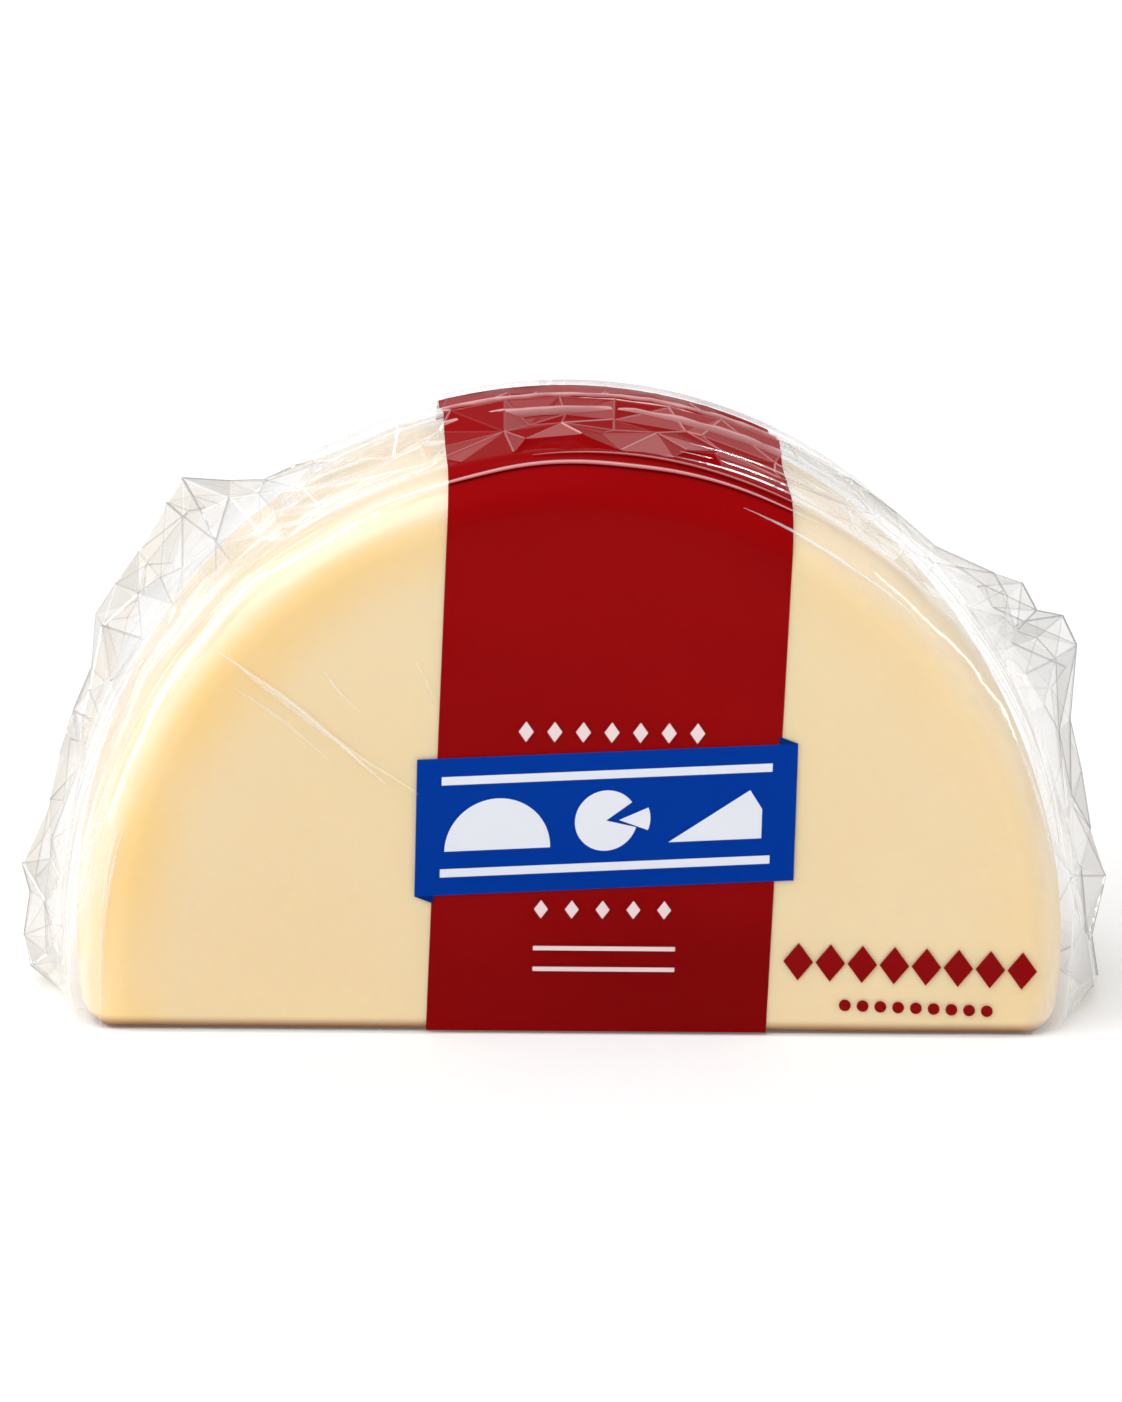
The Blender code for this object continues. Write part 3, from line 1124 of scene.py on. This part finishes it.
def front_folds():
    """Two folds along the front shoulder, over the band and a little past it."""
    bm = with_layers(bmesh.new())
    rim_crease(bm, 62.0, 116.0, -0.0322, 1.6 * MM, 0.9, width=1.3 * MM)
    rim_crease(bm, 60.0, 96.0, -0.0295, 1.9 * MM, 0.6)
    return bm


def make_creases(rng, folds):
    """Long wrinkles along the rim, most of them on the left, the front folds past the band, and
    the clear edge that stands over the band at the back."""
    bm = with_layers(bmesh.new())
    rim_crease(bm, 48.0, 130.0, 0.0262, 4.3 * MM, 0.5, width=1.0 * MM, height=1.1 * MM)
    for _ in range(WRINKLES):
        left = rng.random() < LEFT_WRINKLES
        first = rng.uniform(108.0, 172.0) if left else rng.uniform(8.0, 58.0)
        length = rng.uniform(9.0, 32.0)
        along = rng.uniform(-0.038, 0.006)
        lift = (between(TIGHT_PROFILE, along / HALF_SECTION) + 0.1) * MM
        rim_crease(bm, first, first + length, along, lift, rng.uniform(0.2, 0.9))
    parts = [bm] + list(outside_band(folds))
    creases = piece_from(joined(parts), "bag_creases", film_material(), smooth=False)
    return creases


# Stage, light and camera


def make_floor():
    bm = bmesh.new()
    bmesh.ops.create_circle(bm, cap_ends=True, segments=96, radius=16.0)
    mesh = bpy.data.meshes.new("floor")
    bm.to_mesh(mesh)
    bm.free()
    mesh.materials.append(floor_material())
    floor = bpy.data.objects.new("floor", mesh)
    floor.location.z = -FLOOR_DROP
    bpy.context.scene.collection.objects.link(floor)


def make_world():
    """Pale near the horizon, dimmer overhead and towards the front, so that the film has contrast."""
    world = bpy.data.worlds.new("studio")
    world.use_nodes = True
    tree = world.node_tree
    tree.nodes.clear()
    place = tree.nodes.new("ShaderNodeTexCoord")
    parts = tree.nodes.new("ShaderNodeSeparateXYZ")
    tree.links.new(place.outputs["Generated"], parts.inputs[0])

    def ramp(socket, low, high, at_low, at_high):
        node = tree.nodes.new("ShaderNodeMapRange")
        node.interpolation_type = "SMOOTHSTEP"
        for key, value in zip(("From Min", "From Max", "To Min", "To Max"), (low, high, at_low, at_high)):
            node.inputs[key].default_value = value
        tree.links.new(socket, node.inputs["Value"])
        return node.outputs[0]

    behind = ramp(parts.outputs["Z"], 0.30, 0.65, 1.20, 0.60)
    before = ramp(parts.outputs["Z"], 0.35, 0.65, 0.04, 0.60)
    both = tree.nodes.new("ShaderNodeMix")
    tree.links.new(ramp(parts.outputs["Y"], -0.80, -0.30, 0.0, 1.0), both.inputs["Factor"])
    tree.links.new(before, both.inputs["A"])
    tree.links.new(behind, both.inputs["B"])
    background = tree.nodes.new("ShaderNodeBackground")
    tree.links.new(both.outputs["Result"], background.inputs["Color"])
    output = tree.nodes.new("ShaderNodeOutputWorld")
    tree.links.new(background.outputs[0], output.inputs["Surface"])
    bpy.context.scene.world = world


def aim(obj, target):
    direction = Vector(target) - obj.location
    obj.rotation_euler = direction.to_track_quat("-Z", "Y").to_euler()


def add_sun(name, towards, strength, spread):
    light = bpy.data.lights.new(name, "SUN")
    light.energy = strength
    light.angle = math.radians(spread)
    sun = bpy.data.objects.new(name, light)
    sun.location = towards
    bpy.context.scene.collection.objects.link(sun)
    aim(sun, (0, 0, 0))


def add_glint(name, place, size, power):
    """A panel light that shows only as a reflection in the film."""
    light = bpy.data.lights.new(name, "AREA")
    light.shape = "RECTANGLE"
    light.size, light.size_y = size
    light.energy = power
    panel = bpy.data.objects.new(name, light)
    panel.location = place
    bpy.context.scene.collection.objects.link(panel)
    aim(panel, (0, 0, 0.06))
    panel.visible_diffuse = False
    panel.visible_transmission = False


def make_lights():
    add_sun("key", (-0.50, -0.50, 0.80), 2.25, 70.0)
    add_glint("glint_left", (-1.3, -0.6, 1.1), (0.25, 1.4), 10.0)
    add_glint("glint_low_left", (-1.7, -0.65, 0.45), (0.5, 0.8), 9.0)
    add_glint("glint_top", (0.3, 0.5, 1.7), (1.5, 0.2), 12.0)
    add_glint("glint_right", (1.5, -0.5, 0.7), (0.15, 1.0), 6.0)


CAMERA_TARGET = (-0.0018, 0.0, 0.0593)
CAMERA_AZIMUTH = math.radians(-3.57)
CAMERA_ELEVATION = math.radians(13.85)
CAMERA_DISTANCE = 1.2
CAMERA_ROLL = math.radians(1.49)
CAMERA_LENS = 5890 / 1402 * 36  # focal length in pixels, over the image's long side, on a 36 mm sensor


def make_camera():
    data = bpy.data.cameras.new("camera")
    data.lens = CAMERA_LENS
    data.sensor_width = 36.0
    data.clip_end = 60.0
    camera = bpy.data.objects.new("camera", data)
    flat = CAMERA_DISTANCE * math.cos(CAMERA_ELEVATION)
    offset = Vector((
        flat * math.sin(CAMERA_AZIMUTH),
        -flat * math.cos(CAMERA_AZIMUTH),
        CAMERA_DISTANCE * math.sin(CAMERA_ELEVATION),
    ))
    target = Vector(CAMERA_TARGET)
    turn = (-offset).to_track_quat("-Z", "Y").to_matrix().to_4x4()
    camera.matrix_world = Matrix.Translation(target + offset) @ turn @ Matrix.Rotation(CAMERA_ROLL, 4, "Z")
    bpy.context.scene.collection.objects.link(camera)
    bpy.context.scene.camera = camera


def main():
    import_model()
    rng = random.Random(11)
    rim_sheet = joined([crumpled_sheet(rng), smooth_sheet(-1), smooth_sheet(1)])
    seam = seam_strip(rng)
    folds = front_folds()
    make_cheese()
    make_band(rim_sheet, seam, folds)
    make_film(rim_sheet, seam)
    make_skins()
    make_banner()
    make_marks()
    make_creases(rng, folds)
    for sheet in (rim_sheet, seam, folds):
        sheet.free()
    make_floor()
    make_world()
    make_lights()
    make_camera()
    scene = bpy.context.scene
    scene.view_settings.view_transform = "Standard"
    scene.cycles.transparent_max_bounces = 24


main()
